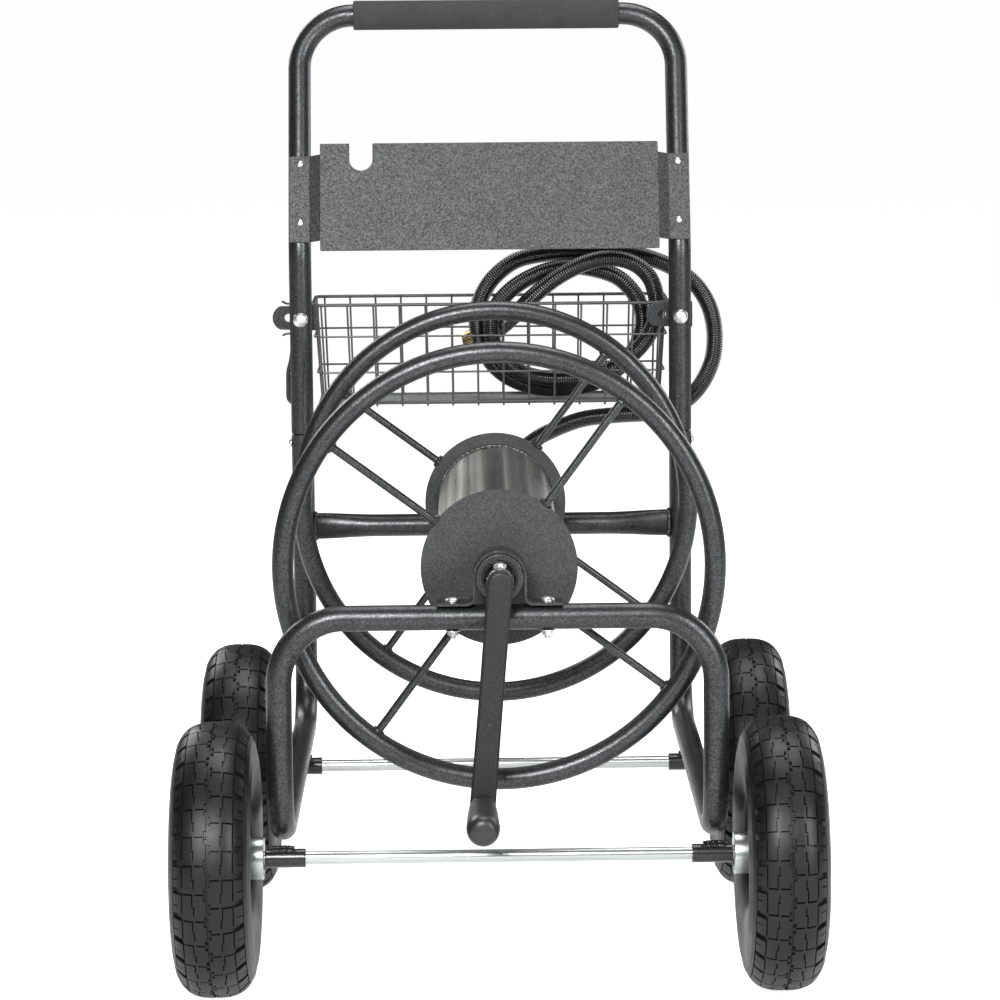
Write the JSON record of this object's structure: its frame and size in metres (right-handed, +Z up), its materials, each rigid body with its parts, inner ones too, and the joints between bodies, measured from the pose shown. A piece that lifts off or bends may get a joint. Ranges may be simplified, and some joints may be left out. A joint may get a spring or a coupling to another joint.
{
  "type": "garden hose reel cart",
  "caption": "Wheeled tubular steel hose reel cart with a hand-cranked wire-ring reel on a lengthwise drum, foam-gripped push handle, tool panel, rear wire basket and leader hose.",
  "frame": {"origin": "on the ground, under the middle of the cart's bounding box (measured without the free leader hose and its coupling)", "axes": "+X to the right seen from the front (crank) end, +Y from the crank end to the handle end, +Z up"},
  "size_m": [0.6424, 0.8232, 0.9595],
  "materials": {
    "hammertone": "silver-vein hammertone powder coat, semi-gloss",
    "zinc": "bright zinc plate",
    "bare_steel": "bare rolled steel, semi-polished",
    "tyre_rubber": "matt black rubber",
    "foam": "matt closed-cell foam",
    "hose_rubber": "black rubber with a fine ribbed cover",
    "brass": "machined brass",
    "basket_wire": "grey powder coat",
    "grip_plastic": "dark grey moulded plastic",
    "rim_steel": "pressed steel, zinc-grey"
  },
  "bodies": {
    "cart": {"axle_front": "zinc", "axle_nut_front_left": "zinc", "axle_nut_front_right": "zinc", "axle_nut_rear_left": "zinc", "axle_nut_rear_right": "zinc", "axle_rear": "zinc", "axle_sleeve_front_left": "hammertone", "axle_sleeve_front_right": "hammertone", "axle_sleeve_rear_left": "hammertone", "axle_sleeve_rear_right": "hammertone", "basket_bracket_left": "hammertone", "basket_bracket_right": "hammertone", "basket_end_left": "basket_wire", "basket_end_right": "basket_wire", "basket_floor": "basket_wire", "basket_front": "basket_wire", "basket_rear": "basket_wire", "bearing_front": "hammertone", "bearing_rear": "hammertone", "bearing_strap_front": "hammertone", "bearing_strap_rear": "hammertone", "front_hoop": "hammertone", "handle_bolt_left": "zinc", "handle_bolt_right": "zinc", "handle_foam_grip": "foam", "handle_tube": "hammertone", "hose_coupling": "brass", "inlet_elbow": "brass", "joint_screw_left": "zinc", "joint_screw_right": "zinc", "leader_hose": "hose_rubber", "panel_screw_left_1": "zinc", "panel_screw_left_2": "zinc", "panel_screw_right_1": "zinc", "panel_screw_right_2": "zinc", "rear_crossbar": "hammertone", "side_tube_left": "hammertone", "side_tube_right": "hammertone", "strap_bolt_front_left": "zinc", "strap_bolt_front_right": "zinc", "strap_bolt_rear_left": "zinc", "strap_bolt_rear_right": "zinc", "tool_panel": "hammertone"},
    "wheel_front_left": {"tyre_front_left": "tyre_rubber", "rim_front_left": "rim_steel"},
    "wheel_front_right": {"tyre_front_right": "tyre_rubber", "rim_front_right": "rim_steel"},
    "wheel_rear_left": {"tyre_rear_left": "tyre_rubber", "rim_rear_left": "rim_steel"},
    "wheel_rear_right": {"tyre_rear_right": "tyre_rubber", "rim_rear_right": "rim_steel"},
    "reel": {"ring_front": "hammertone", "ring_rear": "hammertone", "disc_front": "hammertone", "disc_rear": "hammertone", "drum": "bare_steel", "reel_shaft": "hammertone", "crank_arm": "hammertone", "crank_bolt": "zinc"},
    "crank_handle": {"crank_grip": "grip_plastic"}
  },
  "joints": [
    {"name": "wheel_spin_front_left", "type": "hinge", "parent": "cart", "child": "wheel_front_left", "pos_m": [-0.2756, -0.2502, 0.1335], "axis": [1, 0, 0], "continuous": true},
    {"name": "wheel_spin_front_right", "type": "hinge", "parent": "cart", "child": "wheel_front_right", "pos_m": [0.2756, -0.2502, 0.1335], "axis": [1, 0, 0], "continuous": true},
    {"name": "wheel_spin_rear_left", "type": "hinge", "parent": "cart", "child": "wheel_rear_left", "pos_m": [-0.2756, 0.1368, 0.1335], "axis": [1, 0, 0], "continuous": true},
    {"name": "wheel_spin_rear_right", "type": "hinge", "parent": "cart", "child": "wheel_rear_right", "pos_m": [0.2756, 0.1368, 0.1335], "axis": [1, 0, 0], "continuous": true},
    {"name": "reel_spin", "type": "hinge", "parent": "cart", "child": "reel", "pos_m": [0.0028, -0.2226, 0.4146], "axis": [0, 1, 0], "continuous": true},
    {"name": "crank_handle_spin", "type": "hinge", "parent": "reel", "child": "crank_handle", "pos_m": [-0.01582, -0.3165, 0.1974], "axis": [0, 1, 0], "continuous": true}
  ]
}
